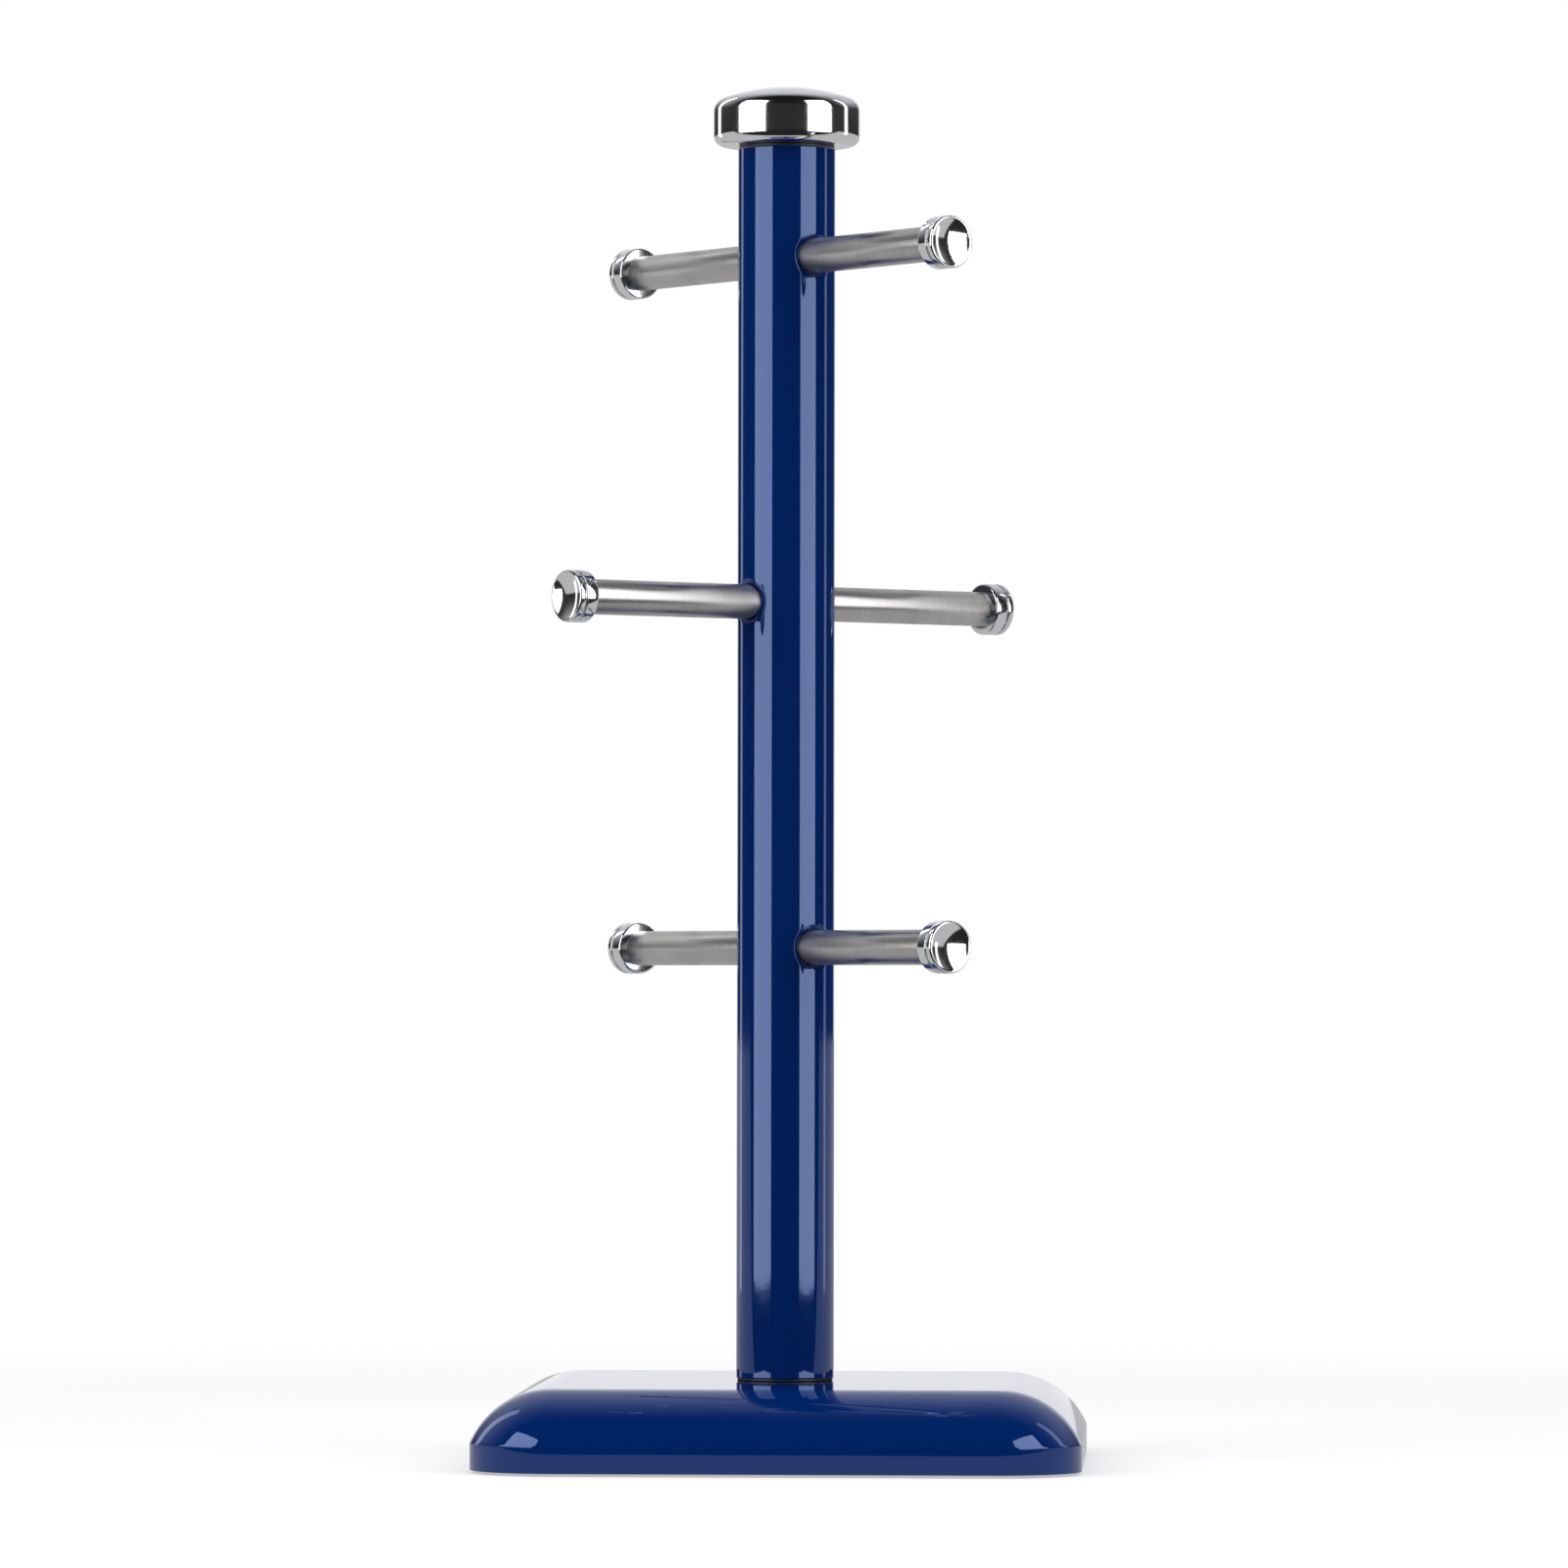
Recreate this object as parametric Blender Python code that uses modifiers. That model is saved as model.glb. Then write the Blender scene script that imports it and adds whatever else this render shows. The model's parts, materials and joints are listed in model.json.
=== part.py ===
"""Mug tree: a weighted square base, a tubular post, three levels of opposed arms and a polished cap.

Metres, +Z up. The origin is on the floor, on the post's axis. The base's sides lie along X and Y. The
arms stand near its diagonals, the top and bottom levels along one and the middle level along the other.
The post is bolted down a few degrees clockwise of the base, and the arms turn with it.
Pieces that touch keep a gap between them, so that every one stays a body of its own.
"""

import math

import bmesh
import bpy
from mathutils import Matrix, Vector

GAP = 0.0003
WASHER_SHEET = 0.0005
EASE = 0.0004
THROUGH = 0.05

# Post
POST_RADIUS = 0.014
POST_WALL = 0.0012
BORE_RADIUS = POST_RADIUS - POST_WALL
POST_TURN = math.radians(-5.8)

# Base shell: a straight band, a crease, a large round and a flat top
BASE_HALF = 0.0859
BASE_CORNER = 0.0248
BASE_RIM = 0.0008
BAND_TOP = 0.0084
BASE_TOP = 0.0235
ROUND_SWEEP = math.radians(66)
SHELL_THICKNESS = 0.0012

# Base plate, rubber feet and ballast
PLATE_BOTTOM = 0.0020
PLATE_THICKNESS = 0.0012
FOOT_RADIUS = 0.008
FOOT_OFFSET = 0.060
WEIGHT_HALF = 0.060
WEIGHT_CORNER = 0.018
WEIGHT_THICKNESS = 0.010
BOSS_RADIUS = 0.007
BOSS_OFFSET = 0.046

# Fasteners
BOLT_RADIUS = 0.004
BOLT_LENGTH = 0.035
BOLT_HEAD_RADIUS = 0.0065
BOLT_HEAD_HEIGHT = 0.008
WASHER_RADIUS = 0.008
WASHER_THICKNESS = 0.0016
SPRING_WASHER_RADIUS = 0.0071
SPRING_WASHER_THICKNESS = 0.0018
SLIT_RADIUS = 0.0004
SCREW_RADIUS = 0.002
SCREW_HEAD_RADIUS = 0.0045
SCREW_HEAD_HEIGHT = 0.0012
SCREW_LENGTH = 0.009
FOOT_PLUG_LENGTH = 0.030
FOOT_PLUG_END = 0.006
TOP_PLUG_LENGTH = 0.016
SEAT_DEPTH = 0.006
HEX_RADIUS = 0.0034
HEX_DEPTH = 0.004

# Top cap
CAP_RADIUS = 0.0212
CAP_BOTTOM = 0.378
CAP_TOP = 0.395
DOME_RADIUS = 0.055
SHOULDER_RADIUS = 0.004
CAP_EDGE_RADIUS = 0.0032
CAP_STUD_RADIUS = 0.003
CAP_STUD_LENGTH = 0.022
CAP_STUD_GRIP = 0.011

# Arms
ARM_RADIUS = 0.005
ARM_WALL = 0.001
ARM_REACH = 0.0776
BOTTOM_LEVEL = 0.1475
LEVEL_SPACING = 0.0991
ARM_SEAT = 0.0109
BLOCK_HEIGHT = 0.020
STUD_RADIUS = 0.0025
STUD_INNER_END = 0.0035
PLUG_LENGTH = 0.012
END_CAP_RADIUS = 0.00745
END_CAP_LENGTH = 0.0064
END_CAP_DISH = 0.0016
END_CAP_EDGE = 0.0006
GROOVE_BACK = 0.0019
GROOVE_WIDTH = 0.0005
GROOVE_DEPTH = 0.0004
SPIGOT_LENGTH = 0.008

# Facets
CORNER_STEPS = 7
ROUND_STEPS = 6
FINE = 40
MEDIUM = 24
COARSE = 16

FRONT_RIGHT = Vector((1, -1, 0)).normalized()
FRONT_LEFT = Vector((-1, -1, 0)).normalized()
UP = Vector((0, 0, 1))
CORNERS = {
    "front_right": FRONT_RIGHT,
    "back_left": -FRONT_RIGHT,
    "front_left": FRONT_LEFT,
    "back_right": -FRONT_LEFT,
}
ARM_WAYS = {corner: Matrix.Rotation(POST_TURN, 3, "Z") @ way for corner, way in CORNERS.items()}
LEVELS = {
    "bottom": (BOTTOM_LEVEL, ("front_right", "back_left")),
    "middle": (BOTTOM_LEVEL + LEVEL_SPACING, ("front_left", "back_right")),
    "top": (BOTTOM_LEVEL + 2 * LEVEL_SPACING, ("front_right", "back_left")),
}


def new_collection(name):
    collection = bpy.data.collections.new(name)
    bpy.context.scene.collection.children.link(collection)
    return collection


def new_material(name, color, roughness, metallic):
    material = bpy.data.materials.new(name)
    material.use_nodes = True
    material.diffuse_color = (*color, 1)
    shader = material.node_tree.nodes["Principled BSDF"]
    shader.inputs["Base Color"].default_value = (*color, 1)
    shader.inputs["Roughness"].default_value = roughness
    shader.inputs["Metallic"].default_value = metallic
    return material


def place(obj, collection, material=None, location=(0, 0, 0), direction=UP):
    """Links an object whose own +Z is turned to point along direction."""
    collection.objects.link(obj)
    obj.location = location
    obj.rotation_euler = direction.to_track_quat("Z", "Y").to_euler()
    if material:
        obj.data.materials.append(material)
        obj.data.shade_smooth()
        obj.data.set_sharp_from_angle(angle=math.radians(30))
    return obj


def turned(name, profile, segments, **placing):
    """A body of revolution about its own Z axis. Its outline runs down the outer side, top to bottom.

    An outline that begins and ends on the axis makes a solid, and any other one is closed into a ring.
    """
    mesh = bpy.data.meshes.new(name)
    edges = [(i, i + 1) for i in range(len(profile) - 1)]
    if profile[0][0] > 0:
        edges.append((len(profile) - 1, 0))
    mesh.from_pydata([(r, 0, z) for r, z in profile], edges, [])
    obj = place(bpy.data.objects.new(name, mesh), **placing)
    screw = obj.modifiers.new("Turn", "SCREW")
    screw.steps = screw.render_steps = segments
    screw.use_merge_vertices = True
    screw.merge_threshold = 0.00001
    return obj


def ring_profile(outer, inner, bottom, top):
    return [(outer, top), (outer, bottom), (inner, bottom), (inner, top)]


def rod_profile(radius, bottom, top, chamfer=EASE):
    return [
        (0, top),
        (radius - chamfer, top),
        (radius, top - chamfer),
        (radius, bottom + chamfer),
        (radius - chamfer, bottom),
        (0, bottom),
    ]


def arc(center_r, center_z, radius, start, end, steps):
    """Points of an arc in the profile's plane, with angles in degrees counted from the outward direction."""
    angles = [math.radians(start + (end - start) * i / steps) for i in range(steps + 1)]
    return [(center_r + radius * math.cos(a), center_z + radius * math.sin(a)) for a in angles]


def rounded_square(bm, half, corner, z):
    """A closed loop of edges with four round corners. With half equal to corner it is a circle."""
    verts = []
    for quarter in range(4):
        start = quarter * math.pi / 2
        sign_x = 1 if quarter in (0, 3) else -1
        sign_y = 1 if quarter in (0, 1) else -1
        for step in range(CORNER_STEPS + 1):
            angle = start + step / CORNER_STEPS * math.pi / 2
            x = sign_x * (half - corner) + corner * math.cos(angle)
            y = sign_y * (half - corner) + corner * math.sin(angle)
            verts.append(bm.verts.new((x, y, z)))
    return verts


def skin(bm, lower, upper):
    """Faces between two loops that have the same number of points."""
    count = len(lower)
    for i in range(count):
        j = (i + 1) % count
        bm.faces.new((lower[i], lower[j], upper[j], upper[i]))


def slab(name, half, corner, bottom, top, **placing):
    """A flat plate with a rounded square outline."""
    bm = bmesh.new()
    lower = rounded_square(bm, half, corner, bottom)
    upper = rounded_square(bm, half, corner, top)
    skin(bm, lower, upper)
    bm.faces.new(upper)
    bm.faces.new(reversed(lower))
    mesh = bpy.data.meshes.new(name)
    bm.to_mesh(mesh)
    bm.free()
    return place(bpy.data.objects.new(name, mesh), **placing)


def cylinder_mesh(name, radius, length, segments):
    bm = bmesh.new()
    bmesh.ops.create_cone(
        bm, cap_ends=True, segments=segments, radius1=radius, radius2=radius, depth=length
    )
    mesh = bpy.data.meshes.new(name)
    bm.to_mesh(mesh)
    bm.free()
    return mesh


def cutter(cutters, name, radius, length, location, direction=UP, segments=COARSE):
    """A hidden cylinder, centred on its location."""
    obj = bpy.data.objects.new(name, cylinder_mesh(name, radius, length, segments))
    place(obj, cutters, location=location, direction=direction)
    obj.hide_render = True
    obj.display_type = "WIRE"
    return obj


def bored(obj, tool, operation="DIFFERENCE"):
    boolean = obj.modifiers.new(tool.name, "BOOLEAN")
    boolean.operation = operation
    boolean.object = tool
    return obj


def corner_spots(offset, z=0.0):
    """Each corner's name and the point on its diagonal at this distance along X and Y."""
    return [(name, way * offset * math.sqrt(2) + UP * z) for name, way in CORNERS.items()]


def base_round():
    """The inset and height of each loop over the base's large round, from the crease to the flat top."""
    lowest = math.pi / 2 - ROUND_SWEEP
    radius = (BASE_TOP - BAND_TOP) / (1 - math.sin(lowest))
    loops = []
    for step in range(ROUND_STEPS + 1):
        angle = lowest + ROUND_SWEEP * step / ROUND_STEPS
        inset = radius * (math.cos(lowest) - math.cos(angle))
        loops.append((inset, BASE_TOP - radius + radius * math.sin(angle)))
    return loops


def make_base_shell(parts, paint):
    bm = bmesh.new()
    hole = BOLT_RADIUS + 2 * GAP
    loops = [rounded_square(bm, BASE_HALF, BASE_CORNER, BASE_RIM)]
    for inset, z in base_round():
        loops.append(rounded_square(bm, BASE_HALF - inset, BASE_CORNER - inset, z))
    loops.append(rounded_square(bm, hole, hole, BASE_TOP))
    for lower, upper in zip(loops, loops[1:]):
        skin(bm, lower, upper)
    mesh = bpy.data.meshes.new("base_shell")
    bm.to_mesh(mesh)
    bm.free()
    shell = place(bpy.data.objects.new("base_shell", mesh), parts, paint)
    solidify = shell.modifiers.new("Sheet", "SOLIDIFY")
    solidify.thickness = SHELL_THICKNESS
    solidify.offset = -1
    solidify.use_even_offset = True
    return shell


def washer_seat():
    """Height of the face inside the ballast that the bolt's washers bear on."""
    return BASE_TOP - SHELL_THICKNESS - GAP - SEAT_DEPTH


def make_base_weight(parts, cutters, iron):
    """A cast slab under the base's top, with four bosses that carry the plate."""
    top = BASE_TOP - SHELL_THICKNESS - GAP
    bottom = top - WEIGHT_THICKNESS
    plate_top = PLATE_BOTTOM + PLATE_THICKNESS + GAP
    seat = washer_seat()
    weight = slab(
        "base_weight", WEIGHT_HALF, WEIGHT_CORNER, bottom, top, collection=parts, material=iron
    )
    boss_length = bottom + WEIGHT_THICKNESS / 2 - plate_top
    for corner, spot in corner_spots(BOSS_OFFSET, plate_top + boss_length / 2):
        boss = cutter(cutters, f"boss_{corner}", BOSS_RADIUS, boss_length, spot)
        bored(weight, boss, "UNION")
    for corner, spot in corner_spots(BOSS_OFFSET, plate_top):
        length = 2 * (SCREW_LENGTH - PLATE_THICKNESS + GAP)
        bored(weight, cutter(cutters, f"boss_hole_{corner}", SCREW_RADIUS + GAP, length, spot))
    bored(weight, cutter(cutters, "weight_bore", BOLT_RADIUS + 2 * GAP, THROUGH, (0, 0, top)))
    recess = 2 * (seat - bottom)
    room = cutter(cutters, "weight_recess", WASHER_RADIUS + 2 * GAP, recess, (0, 0, bottom))
    return bored(weight, room)


def make_base_plate(parts, cutters, lacquer):
    clear = SHELL_THICKNESS + 2 * GAP
    plate = slab(
        "base_plate",
        BASE_HALF - clear,
        BASE_CORNER - clear,
        PLATE_BOTTOM,
        PLATE_BOTTOM + PLATE_THICKNESS,
        collection=parts,
        material=lacquer,
    )
    for corner, spot in corner_spots(BOSS_OFFSET, PLATE_BOTTOM):
        bored(plate, cutter(cutters, f"plate_hole_{corner}", SCREW_RADIUS + GAP, THROUGH, spot))
    return plate


def make_plate_screws(parts, zinc):
    """Four flat-headed screws. Their heads lie under the plate, clear of the floor."""
    head_top = PLATE_BOTTOM - GAP
    head_bottom = head_top - SCREW_HEAD_HEIGHT
    shank_top = head_top + SCREW_LENGTH
    screw = [
        (0, shank_top),
        (SCREW_RADIUS, shank_top),
        (SCREW_RADIUS, head_top),
        (SCREW_HEAD_RADIUS, head_top),
        (SCREW_HEAD_RADIUS, head_bottom + EASE),
        (SCREW_HEAD_RADIUS - EASE, head_bottom),
        (0, head_bottom),
    ]
    for corner, spot in corner_spots(BOSS_OFFSET):
        name = f"plate_screw_{corner}"
        turned(name, screw, COARSE, collection=parts, material=zinc, location=spot)


def make_feet(parts, rubber):
    pad = [
        (0, PLATE_BOTTOM - GAP),
        (FOOT_RADIUS, PLATE_BOTTOM - GAP),
        (FOOT_RADIUS, EASE),
        (FOOT_RADIUS - EASE, 0),
        (0, 0),
    ]
    for corner, spot in corner_spots(FOOT_OFFSET):
        turned(f"foot_{corner}", pad, COARSE, collection=parts, material=rubber, location=spot)


def make_post(parts, cutters, paint, nylon):
    """The tube, with a hole through both walls for each level, on a thin gasket."""
    gasket_bottom = BASE_TOP + GAP
    gasket_top = gasket_bottom + WASHER_SHEET
    gasket = ring_profile(POST_RADIUS - GAP, BORE_RADIUS - 2 * POST_WALL, gasket_bottom, gasket_top)
    turned("post_foot_gasket", gasket, FINE, collection=parts, material=nylon)
    post_top = CAP_BOTTOM - WASHER_SHEET - 2 * GAP
    tube = ring_profile(POST_RADIUS, BORE_RADIUS, gasket_top + GAP, post_top)
    post = turned("post_tube", tube, FINE, collection=parts, material=paint)
    for level, (height, (corner, _)) in LEVELS.items():
        through = cutter(
            cutters,
            f"post_hole_{level}",
            ARM_RADIUS + GAP,
            3 * POST_RADIUS,
            (0, 0, height),
            ARM_WAYS[corner],
            MEDIUM,
        )
        bored(post, through)
    return gasket_top + GAP, post_top


def make_foot_fixing(parts, cutters, post_bottom, steel, zinc):
    """The plug in the post's foot, and the bolt and washers that draw it down on the base."""
    plug_bottom = post_bottom + GAP
    plug_top = plug_bottom + FOOT_PLUG_LENGTH
    bore_top = plug_top - FOOT_PLUG_END
    tapped = BOLT_RADIUS + GAP
    plug = [
        (0, plug_top),
        (BORE_RADIUS - GAP, plug_top),
        (BORE_RADIUS - GAP, plug_bottom),
        (tapped, plug_bottom),
        (tapped, bore_top),
        (0, bore_top),
    ]
    turned("post_foot_plug", plug, MEDIUM, collection=parts, material=steel)

    washer_top = washer_seat() - GAP
    washer_bottom = washer_top - WASHER_THICKNESS
    hole = BOLT_RADIUS + GAP
    flat = ring_profile(WASHER_RADIUS, hole, washer_bottom, washer_top)
    turned("post_bolt_washer", flat, MEDIUM, collection=parts, material=zinc)

    spring_top = washer_bottom - GAP
    spring_bottom = spring_top - SPRING_WASHER_THICKNESS
    split = ring_profile(SPRING_WASHER_RADIUS, hole, spring_bottom, spring_top)
    spring = turned("post_bolt_spring_washer", split, MEDIUM, collection=parts, material=zinc)
    slit = cutter(
        cutters,
        "spring_washer_slit",
        SLIT_RADIUS,
        SPRING_WASHER_RADIUS,
        (SPRING_WASHER_RADIUS, 0, spring_top),
        Vector((1, 0, 0)),
    )
    slit.scale = (12, 1, 1)
    bored(spring, slit)

    head_top = spring_bottom - GAP
    bolt = [
        (0, head_top + BOLT_LENGTH),
        (BOLT_RADIUS - EASE, head_top + BOLT_LENGTH),
        (BOLT_RADIUS, head_top + BOLT_LENGTH - EASE),
        (BOLT_RADIUS, head_top),
        (BOLT_HEAD_RADIUS, head_top),
        (BOLT_HEAD_RADIUS, head_top - BOLT_HEAD_HEIGHT),
        (0, head_top - BOLT_HEAD_HEIGHT),
    ]
    screw = turned("post_bolt", bolt, MEDIUM, collection=parts, material=zinc)
    socket_place = (0, 0, head_top - BOLT_HEAD_HEIGHT)
    bored(screw, cutter(cutters, "bolt_socket", HEX_RADIUS, 2 * HEX_DEPTH, socket_place, segments=6))


def make_top_cap(parts, post_top, chrome, steel, nylon):
    """The cap's outline: a domed top, a round shoulder, a straight band, a round lower edge, a flat foot."""
    shoulder_r = CAP_RADIUS - SHOULDER_RADIUS
    dome_z = CAP_TOP - DOME_RADIUS
    lean = math.asin(shoulder_r / (DOME_RADIUS - SHOULDER_RADIUS))
    shoulder_z = dome_z + (DOME_RADIUS - SHOULDER_RADIUS) * math.cos(lean)
    meeting = 90 - math.degrees(lean)
    edge_r = CAP_RADIUS - CAP_EDGE_RADIUS
    edge_z = CAP_BOTTOM + CAP_EDGE_RADIUS
    bore = CAP_STUD_RADIUS + GAP
    stud_bottom = post_top - CAP_STUD_GRIP
    stud_top = stud_bottom + CAP_STUD_LENGTH
    outline = (
        [(0, CAP_TOP)]
        + arc(0, dome_z, DOME_RADIUS, 90, meeting, 4)[1:]
        + arc(shoulder_r, shoulder_z, SHOULDER_RADIUS, meeting, 0, 4)[1:]
        + arc(edge_r, edge_z, CAP_EDGE_RADIUS, 0, -90, 4)
        + [(bore, CAP_BOTTOM), (bore, stud_top + GAP), (0, stud_top + GAP)]
    )
    turned("top_cap", outline, FINE, collection=parts, material=chrome)

    washer_top = CAP_BOTTOM - GAP
    washer = ring_profile(POST_RADIUS - GAP, bore, washer_top - WASHER_SHEET, washer_top)
    turned("top_cap_washer", washer, FINE, collection=parts, material=nylon)
    plug_top = post_top - GAP
    plug = ring_profile(BORE_RADIUS - GAP, bore, plug_top - TOP_PLUG_LENGTH, plug_top)
    turned("post_top_plug", plug, MEDIUM, collection=parts, material=steel)
    stud = rod_profile(CAP_STUD_RADIUS, stud_bottom, stud_top)
    turned("top_cap_stud", stud, COARSE, collection=parts, material=steel)


def make_arm_block(parts, cutters, level, height, outward, steel):
    """The cross-drilled block inside the post that both arms of a level screw into."""
    radius = BORE_RADIUS - GAP
    core = ring_profile(radius, BOLT_RADIUS, -BLOCK_HEIGHT / 2, BLOCK_HEIGHT / 2)
    block = turned(
        f"arm_block_{level}", core, MEDIUM, collection=parts, material=steel, location=(0, 0, height)
    )
    seat_depth = 2 * (BORE_RADIUS - ARM_SEAT + GAP)
    for side, direction in (("front", outward), ("back", -outward)):
        spot = direction * BORE_RADIUS + UP * height
        seat = cutter(
            cutters, f"seat_{level}_{side}", ARM_RADIUS + GAP, seat_depth, spot, direction, MEDIUM
        )
        bored(block, seat)
    tapped = cutter(
        cutters,
        f"tapped_{level}",
        STUD_RADIUS + GAP,
        4 * BORE_RADIUS,
        (0, 0, height),
        outward,
    )
    bored(block, tapped)


def end_cap_outline(bottom, bore):
    """A sleeve with a fine groove and a dished, polished face, on a spigot inside the tube."""
    top = bottom + END_CAP_LENGTH
    face_radius = END_CAP_RADIUS - END_CAP_EDGE
    dish_radius = (face_radius**2 + END_CAP_DISH**2) / (2 * END_CAP_DISH)
    deepest = top - END_CAP_DISH
    rise = math.degrees(math.asin(face_radius / dish_radius))
    groove_top = top - GROOVE_BACK
    return (
        [(0, deepest)]
        + arc(0, deepest + dish_radius, dish_radius, -90, rise - 90, 3)[1:]
        + arc(face_radius, top - END_CAP_EDGE, END_CAP_EDGE, 90, 0, 2)[1:]
        + [
            (END_CAP_RADIUS, groove_top),
            (END_CAP_RADIUS - GROOVE_DEPTH, groove_top - GROOVE_WIDTH / 2),
            (END_CAP_RADIUS, groove_top - GROOVE_WIDTH),
            (END_CAP_RADIUS, bottom + EASE),
            (END_CAP_RADIUS - EASE, bottom),
            (bore, bottom),
            (bore, bottom - SPIGOT_LENGTH),
            (0, bottom - SPIGOT_LENGTH),
        ]
    )


def make_arm(parts, level, height, corner, brushed, chrome, steel):
    """One arm: a tube with a threaded stud plugged into its root and a cap plugged into its end."""
    outward = ARM_WAYS[corner]
    cap_bottom = ARM_REACH - END_CAP_LENGTH
    inner = ARM_RADIUS - ARM_WALL
    tube = ring_profile(ARM_RADIUS, inner, ARM_SEAT, cap_bottom - GAP)
    plug_end = ARM_SEAT + PLUG_LENGTH
    stud = [
        (0, plug_end),
        (inner - GAP, plug_end),
        (inner - GAP, ARM_SEAT + GAP),
        (STUD_RADIUS, ARM_SEAT + GAP),
        (STUD_RADIUS, STUD_INNER_END + EASE),
        (STUD_RADIUS - EASE, STUD_INNER_END),
        (0, STUD_INNER_END),
    ]
    spot = UP * height
    placing = {"collection": parts, "location": spot, "direction": outward}
    turned(f"arm_{level}_{corner}", tube, MEDIUM, material=brushed, **placing)
    turned(f"arm_stud_{level}_{corner}", stud, COARSE, material=steel, **placing)
    cap = end_cap_outline(cap_bottom, inner - GAP)
    turned(f"arm_cap_{level}_{corner}", cap, MEDIUM, material=chrome, **placing)


def main():
    for obj in list(bpy.data.objects):
        bpy.data.objects.remove(obj)
    parts = new_collection("mug_tree")
    cutters = new_collection("cutters")

    paint = new_material("blue_enamel", (0.004, 0.030, 0.250), 0.12, 0.0)
    chrome = new_material("polished_chrome", (0.80, 0.80, 0.81), 0.05, 1.0)
    brushed = new_material("brushed_steel", (0.50, 0.49, 0.47), 0.30, 1.0)
    steel = new_material("plain_steel", (0.42, 0.42, 0.43), 0.40, 1.0)
    zinc = new_material("zinc_plate", (0.62, 0.63, 0.65), 0.35, 1.0)
    iron = new_material("cast_iron", (0.06, 0.06, 0.065), 0.75, 0.6)
    lacquer = new_material("black_lacquer", (0.015, 0.015, 0.017), 0.45, 0.0)
    rubber = new_material("black_rubber", (0.02, 0.02, 0.02), 0.85, 0.0)
    nylon = new_material("black_nylon", (0.02, 0.02, 0.022), 0.50, 0.0)

    make_base_shell(parts, paint)
    make_base_weight(parts, cutters, iron)
    make_base_plate(parts, cutters, lacquer)
    make_plate_screws(parts, zinc)
    make_feet(parts, rubber)
    post_bottom, post_top = make_post(parts, cutters, paint, nylon)
    make_foot_fixing(parts, cutters, post_bottom, steel, zinc)
    make_top_cap(parts, post_top, chrome, steel, nylon)
    for level, (height, corners) in LEVELS.items():
        make_arm_block(parts, cutters, level, height, ARM_WAYS[corners[0]], steel)
        for corner in corners:
            make_arm(parts, level, height, corner, brushed, chrome, steel)


main()
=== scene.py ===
"""The finished look of a mug tree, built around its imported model: enamel, brushed arms, polished caps."""

import json
import math

import bmesh
import bpy
from bpy.props import FloatProperty, FloatVectorProperty, IntProperty, PointerProperty
from mathutils import Matrix, Vector


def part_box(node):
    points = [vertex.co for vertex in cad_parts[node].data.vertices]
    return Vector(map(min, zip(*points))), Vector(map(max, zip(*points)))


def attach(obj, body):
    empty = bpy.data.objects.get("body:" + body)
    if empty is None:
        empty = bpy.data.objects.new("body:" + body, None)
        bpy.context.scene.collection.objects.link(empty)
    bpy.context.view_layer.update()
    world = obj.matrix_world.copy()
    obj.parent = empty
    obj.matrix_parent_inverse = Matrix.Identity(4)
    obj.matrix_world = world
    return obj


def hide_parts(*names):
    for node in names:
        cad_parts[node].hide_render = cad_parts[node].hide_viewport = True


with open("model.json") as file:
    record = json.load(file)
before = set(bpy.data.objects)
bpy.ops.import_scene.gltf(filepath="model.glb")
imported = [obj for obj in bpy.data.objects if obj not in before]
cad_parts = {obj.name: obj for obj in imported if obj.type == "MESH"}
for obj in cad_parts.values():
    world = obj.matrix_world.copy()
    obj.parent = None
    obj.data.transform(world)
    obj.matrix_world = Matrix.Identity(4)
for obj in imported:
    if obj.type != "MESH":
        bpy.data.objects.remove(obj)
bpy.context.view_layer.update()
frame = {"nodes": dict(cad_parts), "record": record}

bl_info = {
    "name": "Mug Tree",
    "version": (1, 0, 0),
    "blender": (4, 5, 0),
    "location": "View3D > Sidebar > Mug Tree",
    "description": "Builds an enamelled mug tree with brushed arms and polished caps",
    "category": "Add Mesh",
}

BODY = "root"
UP = Vector((0, 0, 1))
CORNERS = ("front_right", "front_left", "back_right", "back_left")
ARMS = [
    ("bottom", "front_right"),
    ("bottom", "back_left"),
    ("middle", "front_left"),
    ("middle", "back_right"),
    ("top", "front_right"),
    ("top", "back_left"),
]
SHELL_LOW, SHELL_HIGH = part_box("base_shell")
POST_LOW, POST_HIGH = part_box("post_tube")
CAP_LOW, CAP_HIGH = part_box("top_cap")
PLATE_LOW, PLATE_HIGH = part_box("base_plate")
QUARTER = math.pi / 2
CREASE_STEPS = 4
ROUND_STEPS = 26
CORNER_STEPS = 28
PLATE_CORNER_STEPS = 24
BLEND_STEPS = 5
LIP_STEPS = 8
ARM_FACETS = 96
CAP_FACETS = 160
RING_FACETS = 96
SCREW_FACETS = 48
FOOT_FACETS = 64
SOFTBOX_DISTANCE = 1.5
SOFTBOX_TOP = 1.9
OVERHEAD_SIDE = 2.2
TABLE_RADIUS = 20.0


def length(default, name, description):
    return FloatProperty(
        name=name, description=description, default=default, min=0.0, unit="LENGTH", precision=5
    )


def tint(default, name, description):
    return FloatVectorProperty(
        name=name, description=description, default=default, subtype="COLOR", min=0.0, max=1.0
    )


def arm_line(level, corner):
    """Where an arm's line crosses the post's axis, and the way it points."""
    low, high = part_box(f"arm_{level}_{corner}")
    middle = (low + high) / 2
    height = UP * middle.z
    return height, (middle - height).normalized()


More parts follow.
